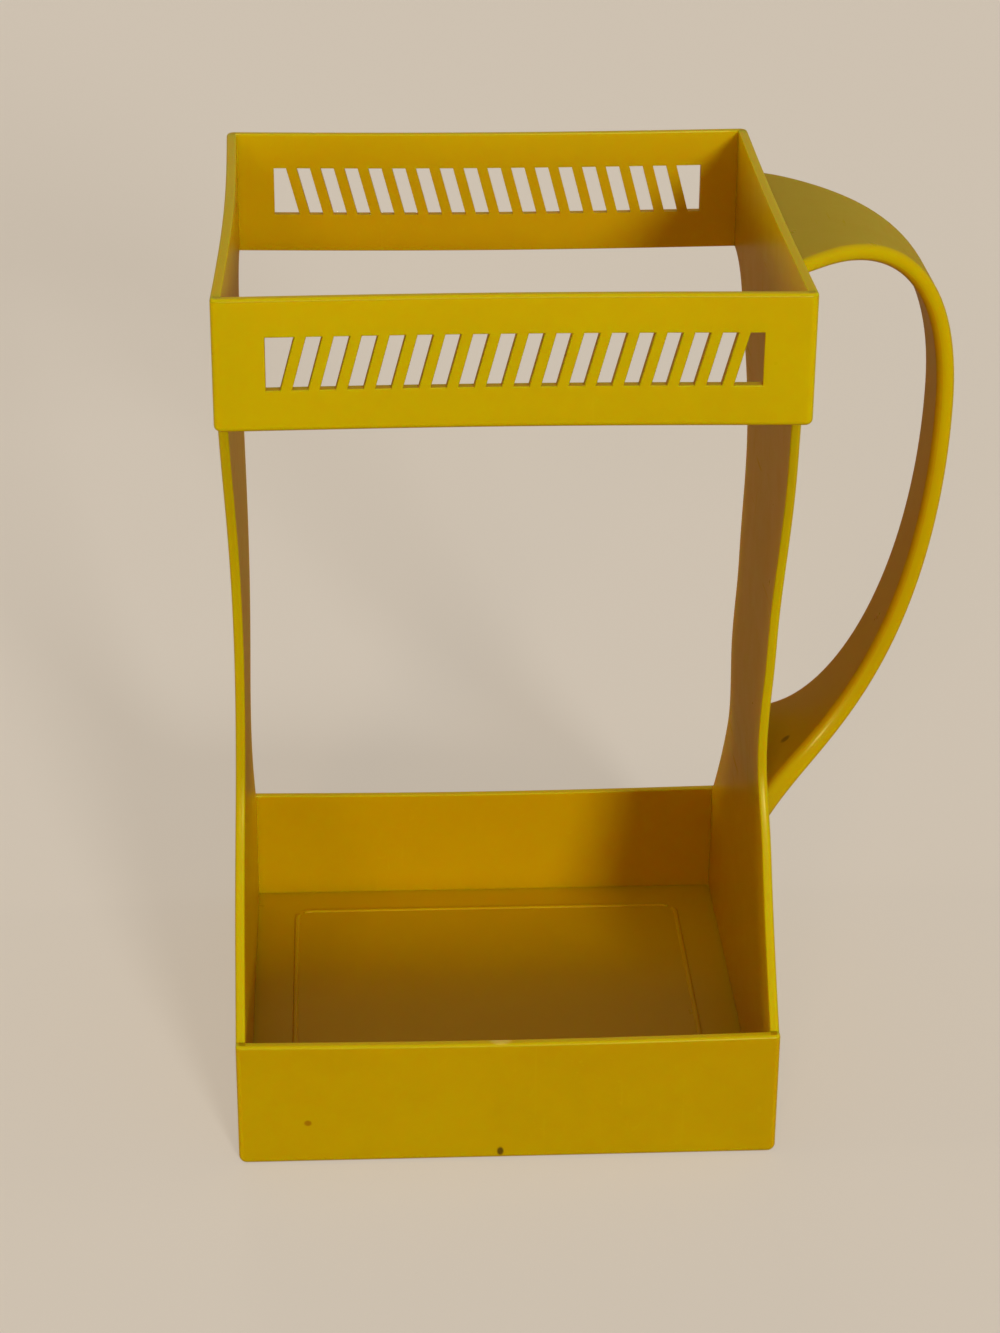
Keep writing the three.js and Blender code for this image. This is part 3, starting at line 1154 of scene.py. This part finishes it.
@dataclass
class SideWall(Moulding):
    """The right wall, drawn in at the waist, and its copy at the left."""

    waist_width: float = 43 * MM
    waist_level: float = 68 * MM
    shoulder_setback: float = 12.6 * MM
    shoulder_drop: float = 5.7 * MM
    flare_angle: float = math.radians(47)
    shoulder_angle: float = math.radians(66)
    flare_pull: float = 0.43
    waist_pull_down: float = 0.24
    waist_pull_up: float = 0.64
    shoulder_pull: float = 0.38
    fillet_pull: float = 2 / 3
    outline_steps: int = 32
    fillet_steps: int = 10
    base_radius: float = 1.5 * MM
    rim_radius: float = 0.6 * MM
    inner_rim_radius: float = 0.3 * MM
    outer_radius: float = 0.8 * MM
    inner_radius: float = 0.4 * MM
    # Painted highlight: the side walls' narrow edges take some even where they face sideways or partly down.
    side_highlight: float = 0.15
    lowest_highlight: float = -0.7
    right_bows: tuple[Bow, ...] = (Bow(88 * MM, 150 * MM, 1.05 * MM), Bow(50 * MM, 92 * MM, -0.8 * MM))
    left_bows: tuple[Bow, ...] = (Bow(36 * MM, 150 * MM, 1.0 * MM),)
    right_rim_bow: float = -0.4 * MM
    left_rim_bow: float = 0.9 * MM
    inner_facets: int = 3
    rows: int = 30
    bays: int = 12

    def build(self) -> None:
        """Models the right wall, copies it to the left and dresses both."""
        env = self.env
        wall = Workpiece.traced("right_wall_moulding", self.outline())
        wall.thicken(env.wall)
        self.round_off(wall)
        self.divide(wall)
        left = wall.turned_copy("left_wall_moulding", HALF_TURN)
        for piece, bows, rim_bow in (
            (wall, self.right_bows, self.right_rim_bow),
            (left, self.left_bows, self.left_rim_bow),
        ):
            for bow in bows:
                piece.bow(Axis.X, bow.amount, bow.share)
            piece.bow(Axis.X, rim_bow, self.rim_sag)
        self.dress(wall, "right_wall")
        self.dress(left, "left_wall")

    def rear_edge(self) -> list[Vector]:
        """Draws the wall's waisted rear edge on the outer face.

        Returns:
            Its points, from the tray's rim up to the band's bottom.
        """
        env = self.env
        waist = self.waist_width / 2
        shoulder = env.inner - self.shoulder_setback
        shoulder_level = env.band_bottom - self.shoulder_drop
        lower_rise = self.waist_level - env.tray_top
        upper_rise = shoulder_level - self.waist_level
        flare = self.flare_pull * lower_rise
        pull = self.shoulder_pull * upper_rise

        def at(depth: float, level: float) -> Vector:
            """A point of the outer face."""
            return Vector((env.outer, depth, level))

        tray_corner = at(env.inner, env.tray_top)
        tray_handle = at(
            env.inner - flare * math.cos(self.flare_angle),
            env.tray_top + flare * math.sin(self.flare_angle),
        )
        waist_below = at(waist, self.waist_level - self.waist_pull_down * lower_rise)
        waist_point = at(waist, self.waist_level)
        waist_above = at(waist, self.waist_level + self.waist_pull_up * upper_rise)
        shoulder_handle = at(
            shoulder - pull * math.cos(self.shoulder_angle),
            shoulder_level - pull * math.sin(self.shoulder_angle),
        )
        shoulder_point = at(shoulder, shoulder_level)
        crook = at(shoulder + self.shoulder_drop / math.tan(self.shoulder_angle), env.band_bottom)
        band_corner = at(env.inner, env.band_bottom)
        steps = self.outline_steps
        lower = interpolate_bezier(tray_corner, tray_handle, waist_below, waist_point, steps)
        upper = interpolate_bezier(waist_point, waist_above, shoulder_handle, shoulder_point, steps)
        fillet = interpolate_bezier(
            shoulder_point,
            shoulder_point.lerp(crook, self.fillet_pull),
            band_corner.lerp(crook, self.fillet_pull),
            band_corner,
            self.fillet_steps,
        )
        return [*lower, *upper[1:], *fillet[1:]]

    def outline(self) -> list[Vector]:
        """Draws the whole wall's outline on the outer face.

        Returns:
            Its points, counter-clockwise seen from outside.
        """
        env = self.env
        rear = [
            Vector((env.outer, env.inner, 0)),
            *self.rear_edge(),
            Vector((env.outer, env.inner, env.rim)),
        ]
        front = [Vector((point.x, -point.y, point.z)) for point in reversed(rear)]
        return [*rear, *front]

    def round_off(self, wall: Workpiece) -> None:
        """Rounds the waisted edges, the rim and the base, apart from the ends that meet other walls.

        Args:
            wall: The thickened wall.
        """
        env = self.env

        def along(face: float, low: float, high: float) -> EdgeTest:
            """The edges of one face whose middle lies between two levels."""
            on_face = both_ends(lambda place: abs(place.x - face) < NEAR)
            return lambda a, b: on_face(a, b) and low < (a.z + b.z) / 2 < high

        low = env.tray_top
        high = env.band_bottom + NEAR
        rim = (env.rim - NEAR, env.rim + NEAR)
        wall.round_edges(self.base_radius, self.base_facets, along(env.outer, -NEAR, NEAR))
        wall.round_edges(self.outer_radius, self.edge_facets, along(env.outer, low, high))
        wall.round_edges(self.inner_radius, self.inner_facets, along(env.inner, low, high))
        wall.round_edges(self.rim_radius, self.edge_facets, along(env.outer, *rim))
        wall.round_edges(self.inner_rim_radius, self.fine_facets, along(env.inner, *rim))

    def divide(self, wall: Workpiece) -> None:
        """Divides the wall into rows, and its part beside the bands into bays, so that it can bow.

        Args:
            wall: The rounded wall.
        """
        env = self.env
        for row in range(1, self.rows + 1):
            level = env.tray_top + (env.band_bottom - env.tray_top) * row / self.rows
            wall.cut((0, 0, level), (0, 0, 1))
        for depth in self.bay_lines(self.bays):
            wall.cut((0, depth, 0), (0, 1, 0), lambda middle: middle.z > env.band_bottom)

    def rim_sag(self, place: Vector) -> float:
        """A bow that is greatest at the middle of the rim, and nothing below the bands."""
        up = max(0.0, (place.z - self.env.band_bottom) / (self.env.rim - self.env.band_bottom))
        return self.slack(place.y) * up**2


@dataclass
class TrayFloor(Moulding):
    """The tray's floor, with the low bead that runs round its top."""

    bead_height: float = 0.3 * MM
    bead_inset: float = 8.2 * MM
    bead_width: float = 1 * MM
    bead_corner: float = 3 * MM
    bead_rounding: float = 0.38 * MM
    bead_root: float = 0.3 * MM
    narrow: float = 0.0
    painted_inner_shade: float = 0.45
    # Painted light: a brighter orange standing in for the light that comes through the walls onto the floor.
    painted_through_glow: Colour = linear(236, 166, 0)

    def build(self) -> None:
        """Models the floor and dresses it."""
        env = self.env
        side = 2 * env.inner
        floor = Workpiece.plate("tray_floor_moulding", Facing.UP, (0, 0, env.floor_top), (side, side))
        floor.thicken(env.floor_top)
        bead = self.bead()
        floor.apply("BOOLEAN", object=bead.obj, operation="UNION", solver="EXACT")
        bpy.data.objects.remove(bead.obj)
        # Painted light: the floor's faces that look inside take the brighter orange glow in place of the deeper
        # inner shade.
        self.plastic = replace(self.plastic, inner_shade_amber=self.painted_through_glow)
        self.dress(floor, "tray_floor")

    def bead(self) -> Workpiece:
        """Models the bead as a rounded square ring, sunk a little into the floor.

        Returns:
            The ring, a piece of its own.
        """
        env = self.env
        side = 2 * (env.inner - self.bead_inset) + self.bead_width
        root = env.floor_top - self.bead_root
        top = env.floor_top + self.bead_height
        ring = Workpiece.plate("bead", Facing.UP, (0, 0, top), (side, side))
        ring.pick(Element.VERTEX, anywhere)
        ring.round_selected(self.bead_corner + self.bead_width / 2, self.base_facets, corners=True)
        ring.pick(Element.FACE, anywhere)
        bpy.ops.mesh.inset(thickness=self.bead_width, depth=0)
        inner = side / 2 - self.bead_width - NEAR
        ring.remove_faces(lambda middle: max(abs(middle.x), abs(middle.y)) < inner)
        ring.thicken(top - root)
        on_top = both_ends(lambda place: place.z > top - NEAR)
        ring.round_edges(self.bead_rounding, self.edge_facets, on_top)
        ring.finish()
        return ring


@dataclass(frozen=True)
class Route:
    """A line in the carrier's side view that can be followed by distance."""

    points: tuple[Vector, ...]

    @property
    def length(self) -> float:
        """The line's whole length."""
        return sum((b - a).length for a, b in zip(self.points, self.points[1:]))

    def at(self, distance: float) -> tuple[Vector, Vector]:
        """Follows the line.

        Args:
            distance: How far to go from its start.

        Returns:
            The place and the direction there.
        """
        gone = 0.0
        for a, b in zip(self.points, self.points[1:]):
            step = (b - a).length
            if gone + step >= distance or b is self.points[-1]:
                return a.lerp(b, (distance - gone) / step), (b - a).normalized()
            gone += step
        raise ValueError("the line has no points")


@dataclass
class StrapHandle(Moulding):
    """The strap handle on the right wall, flared where it grows out of the wall at both ends."""

    reach: float = 32.6 * MM
    top_drop: float = 1.9 * MM
    belly_drop: float = 34.4 * MM
    foot_level: float = 55.2 * MM
    top_angle: float = math.radians(5)
    foot_angle: float = math.radians(26.5)
    top_pull: float = 0.85
    crest_pull: float = 0.49
    belly_pull: float = 0.4
    foot_pull: float = 0.8
    upper_grip: float = 11.2 * MM
    lower_grip: float = 14.8 * MM
    top_root: float = 54.4 * MM
    top_flare: float = 17 * MM
    top_fullness: float = 1.25
    foot_root: float = 45 * MM
    foot_flare: float = 9.8 * MM
    top_thickness: float = 2.4 * MM
    top_swell: float = 12 * MM
    grip_thickness: float = 3.3 * MM
    foot_thickness: float = 4.8 * MM
    foot_swell: float = 25 * MM
    edge_radius: float = 1.5 * MM
    edge_share: float = 0.45
    edge_facets: int = 5
    narrow: float = 0.0
    painted_inner_shade: float = 0.6
    # Painted shade: a darker lemon than the rest of the same plastic, so that the strap looks as dull as it
    # does in its light.
    shade: Colour = linear(196, 176, 0)
    sunk: float = 5 * MM
    rooted: float = 1.2 * MM
    hidden_share: float = 0.9
    curve_steps: int = 160
    stations: int = 110
    crowding: float = 0.12
    edge_search: float = 0.2 * MM

    def build(self) -> None:
        """Models the strap along its line and dresses it."""
        env = self.env
        route = self.route()
        length = route.length
        strap = self.ribbon(route, length)
        thickest = self.foot_thickness

        def thickness_share(place: Vector) -> float:
            """The strap's thickness at a place, as a share of the thickest."""
            return self.thickness(self.distance_near(route, place), length) / thickest

        def radius_share(place: Vector) -> float:
            """Shares out the rounding of the edges, with none at the ends inside the wall.

            Args:
                place: The middle of an edge.

            Returns:
                The edge's radius, as a share of the largest.
            """
            if place.x < env.outer - self.hidden_share * self.sunk:
                return 0.0
            return min(1.0, self.edge_share * thickest * thickness_share(place) / self.edge_radius)

        strap.weigh("thickness", thickness_share)
        strap.thicken(thickest, "thickness")
        strap.obj.vertex_groups.remove(strap.obj.vertex_groups["thickness"])
        strap.round_varied(self.edge_radius, self.edge_facets, radius_share)
        strap.trim((env.outer - self.rooted, 0, 0), (1, 0, 0))
        # Painted shade: the strap takes the darker lemon.
        self.plastic = replace(self.plastic, lemon=self.shade)
        self.dress(strap, "handle_strap", self.blemishes())

    def route(self) -> Route:
        """Draws the line of the strap's outer face.

        Returns:
            The line, from inside the wall at the top to inside it at the foot.
        """
        env = self.env
        top = env.rim - self.top_drop
        belly = top - self.belly_drop
        out = env.outer + self.reach

        def at(across: float, level: float) -> Vector:
            """A point of the carrier's middle plane."""
            return Vector((across, 0, level))

        top_way = Vector((math.cos(self.top_angle), 0, math.sin(self.top_angle)))
        foot_way = Vector((math.cos(self.foot_angle), 0, math.sin(self.foot_angle)))
        start = at(env.outer, top)
        end = at(env.outer, self.foot_level)
        over = interpolate_bezier(
            start,
            start + self.top_pull * self.reach * top_way,
            at(out, belly + self.crest_pull * self.belly_drop),
            at(out, belly),
            self.curve_steps,
        )
        down = interpolate_bezier(
            at(out, belly),
            at(out, belly - self.belly_pull * (belly - self.foot_level)),
            end + self.foot_pull * self.reach * foot_way,
            end,
            self.curve_steps,
        )
        return Route((start - self.sunk * top_way, *over, *down[1:], end - self.sunk * foot_way))

    def width(self, along: float, length: float) -> float:
        """Works out how wide the strap is at a distance along it.

        Args:
            along: The distance from the line's start.
            length: The whole line's length.

        Returns:
            The width.
        """
        from_top = max(0.0, along - self.sunk)
        from_foot = max(0.0, length - self.sunk - along)
        grip = self.upper_grip + (self.lower_grip - self.upper_grip) * along / length
        top_fade = math.exp(-((from_top / self.top_flare) ** self.top_fullness))
        foot_fade = math.exp(-from_foot / self.foot_flare)
        top = (self.top_root - self.upper_grip) * top_fade
        foot = (self.foot_root - self.lower_grip) * foot_fade
        return grip + top + foot

    def thickness(self, along: float, length: float) -> float:
        """Works out how thick the strap is at a distance along it.

        Args:
            along: The distance from the line's start.
            length: The whole line's length.

        Returns:
            The thickness.
        """
        thinner = (self.grip_thickness - self.top_thickness) * math.exp(-along / self.top_swell)
        thicker = (self.foot_thickness - self.grip_thickness) * math.exp(-(length - along) / self.foot_swell)
        return self.grip_thickness - thinner + thicker

    def ribbon(self, route: Route, length: float) -> Workpiece:
        """Extrudes an edge along the line, and widens or narrows it on the way.

        Args:
            route: The line.
            length: Its length.

        Returns:
            The strap's outer face.
        """
        here, way = route.at(0)
        there, _ = route.at(self.sunk)
        middle = (here + there) / 2
        width = self.width(0, length)
        ribbon = Workpiece.plate("handle_strap_moulding", Facing.UP, middle, (self.sunk, width))
        ribbon.edit()
        bpy.ops.mesh.select_all(action="SELECT")
        bpy.ops.transform.rotate(value=math.atan2(way.z, way.x), orient_axis="Y", center_override=middle)
        ribbon.pick(Element.EDGE, lambda place: (place - there).length < self.edge_search)
        for station in range(1, self.stations + 1):
            share = station / self.stations
            eased = share - self.crowding * math.sin(2 * math.pi * share)
            distance = self.sunk + (length - self.sunk) * eased
            place, _ = route.at(distance)
            bpy.ops.mesh.extrude_edges_move(TRANSFORM_OT_translate={"value": place - there})
            wider = self.width(distance, length)
            bpy.ops.transform.resize(value=(1, wider / width, 1), center_override=place)
            there = place
            width = wider
        return ribbon

    def distance_near(self, route: Route, place: Vector) -> float:
        """Finds how far along the line the point nearest to a place lies.

        Args:
            route: The line.
            place: The place, whose depth doesn't count.

        Returns:
            The distance from the line's start.
        """
        flat = Vector((place.x, 0, place.z))
        gone = 0.0
        found = 0.0
        best = math.inf
        for a, b in zip(route.points, route.points[1:]):
            if (a - flat).length < best:
                best = (a - flat).length
                found = gone
            gone += (b - a).length
        return gone if (route.points[-1] - flat).length < best else found

    def blemishes(self) -> list[Blemish]:
        """A dark dot inside the strap, near its foot."""
        place = (55 * MM, -4.3 * MM, 63.7 * MM)
        return [Blemish(place, (1.2 * MM, 1.1 * MM, 2 * MM), linear(70, 40, 8), 0.65)]


@dataclass(frozen=True)
class Lamp:
    """A soft lamp, so far off that it lights the carrier and the floor evenly.

    Its angles are in degrees: turn goes from the front towards the right, height up from the floor, and
    spread is the lamp's own width. A lamp without glints lights the plastic and doesn't show in its gloss.
    """

    name: str
    turn: float
    height: float
    spread: float
    strength: float
    colour: Colour = linear(255, 255, 255)
    glints: bool = True

    @property
    def place(self) -> Vector:
        """The way to the lamp, one metre long."""
        turn = math.radians(self.turn)
        height = math.radians(self.height)
        level = math.cos(height)
        return Vector((math.sin(turn) * level, -math.cos(turn) * level, math.sin(height)))

    def hang(self) -> None:
        """Adds the lamp to the scene."""
        data = bpy.data.lights.new(self.name, "SUN")
        data.angle = math.radians(self.spread)
        data.energy = self.strength
        data.color = self.colour[:3]
        lamp = bpy.data.objects.new(self.name, data)
        bpy.context.scene.collection.objects.link(lamp)
        lamp.location = self.place
        lamp.visible_glossy = self.glints
        lamp.rotation_euler = self.place.to_track_quat("Z", "Y").to_euler()


@dataclass
class Studio:
    """The floor, the light and the camera."""

    floor_half: float = 12.0
    floor_colour: Colour = linear(182, 154, 118)
    floor_seen: Colour = linear(244, 236, 222)
    floor_glow: Colour = linear(224, 216, 204)
    glow_share: float = 0.5
    sky_colour: Colour = linear(238, 214, 184)
    sky_seen: Colour = linear(205, 192, 175)
    horizon_light: float = 0.24
    zenith_light: float = 0.36
    zenith_rise: float = 0.8
    eye: Point = (-27.95 * MM, -534.35 * MM, 331.95 * MM)
    yaw: float = math.radians(3.042)
    pitch: float = math.radians(25.413)
    roll: float = math.radians(0.418)
    focal_pixels: float = 3115.4
    image_height: float = 1333
    sensor: float = 36
    nearest: float = 0.01
    soft_white: Colour = linear(255, 240, 220)
    lamps: tuple[Lamp, ...] = (
        Lamp("key_lamp", 16, 15.5, 10, 1.75),
        Lamp("fill_lamp", -15, 20, 10, 0.34, linear(255, 222, 180)),
        Lamp("right_lamp", 93, 5, 13, 0.75, soft_white, glints=False),
        Lamp("left_lamp", -90, 4, 10, 1.0, soft_white, glints=False),
        Lamp("back_lamp", 184, 4, 14, 1.0, soft_white, glints=False),
    )

    def build(self) -> None:
        """Sets up the floor, the lamps, the sky and the camera."""
        self.lay_floor()
        for lamp in self.lamps:
            lamp.hang()
        self.light_sky()
        self.place_camera()
        bpy.context.scene.view_settings.view_transform = "Standard"

    def lay_floor(self) -> None:
        """Lays a plain pale floor, which looks paler to the camera than it lights the carrier.

        The camera sees a share of plain pale colour in it, and the rest keeps the carrier's shadow.
        """
        side = 2 * self.floor_half
        floor = Workpiece.plate("floor", Facing.UP, (0, 0, 0), (side, side))
        made = bpy.data.materials.new("pale_floor")
        sheet = NodeSheet(made)
        seen = sheet.node("ShaderNodeLightPath", output="Is Camera Ray")
        colour = sheet.blend(seen, self.floor_colour, self.floor_seen)
        matt = sheet.node("ShaderNodeBsdfDiffuse", None, {"Color": colour})
        glow = sheet.node("ShaderNodeEmission", None, {"Color": self.floor_glow})
        surface = sheet.node("ShaderNodeMixShader", None, {0: seen * self.glow_share, 1: matt, 2: glow})
        sheet.node("ShaderNodeOutputMaterial", None, {"Surface": surface})
        floor.obj.data.materials.append(made)

    def light_sky(self) -> None:
        """Lights the carrier from all round, most from overhead, and shows a pale sky to the camera."""
        world = bpy.data.worlds.new("studio")
        bpy.context.scene.world = world
        sheet = NodeSheet(world)
        seen = sheet.node("ShaderNodeLightPath", output="Is Camera Ray")
        way = sheet.node("ShaderNodeTexCoord", output="Generated")
        height = sheet.node("ShaderNodeSeparateXYZ", None, {0: way}, output="Z")
        rise = height.rising(0, self.zenith_rise)
        light = self.horizon_light + (self.zenith_light - self.horizon_light) * rise
        strength = seen + (1 - seen) * light
        colour = sheet.blend(seen, self.sky_colour, self.sky_seen)
        sky = sheet.node("ShaderNodeBackground", None, {"Color": colour, "Strength": strength})
        sheet.node("ShaderNodeOutputWorld", None, {"Surface": sky})

    def place_camera(self) -> None:
        """Places the camera where the photograph was taken from."""
        forward = Vector(
            (
                math.sin(self.yaw) * math.cos(self.pitch),
                math.cos(self.yaw) * math.cos(self.pitch),
                -math.sin(self.pitch),
            )
        )
        level = Vector((math.cos(self.yaw), -math.sin(self.yaw), 0))
        upright = level.cross(forward)
        right = math.cos(self.roll) * level + math.sin(self.roll) * upright
        up = math.cos(self.roll) * upright - math.sin(self.roll) * level
        data = bpy.data.cameras.new("camera")
        data.sensor_width = self.sensor
        data.lens = self.focal_pixels / self.image_height * self.sensor
        data.clip_start = self.nearest
        camera = bpy.data.objects.new("camera", data)
        bpy.context.scene.collection.objects.link(camera)
        turn = Matrix((right, up, -forward)).transposed().to_4x4()
        camera.matrix_world = Matrix.Translation(Vector(self.eye)) @ turn
        bpy.context.scene.camera = camera


def main() -> None:
    """Builds the carrier over its frame and sets up the studio."""
    logging.basicConfig(level=logging.INFO, format="%(name)s: %(message)s")
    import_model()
    env = Envelope.measured()
    plastic = YellowPlastic()
    Studio().build()
    for member in (PiercedBand, SideWall, TrayWall, TrayFloor, StrapHandle):
        member(env, plastic).build()


if __name__ == "__main__":
    main()
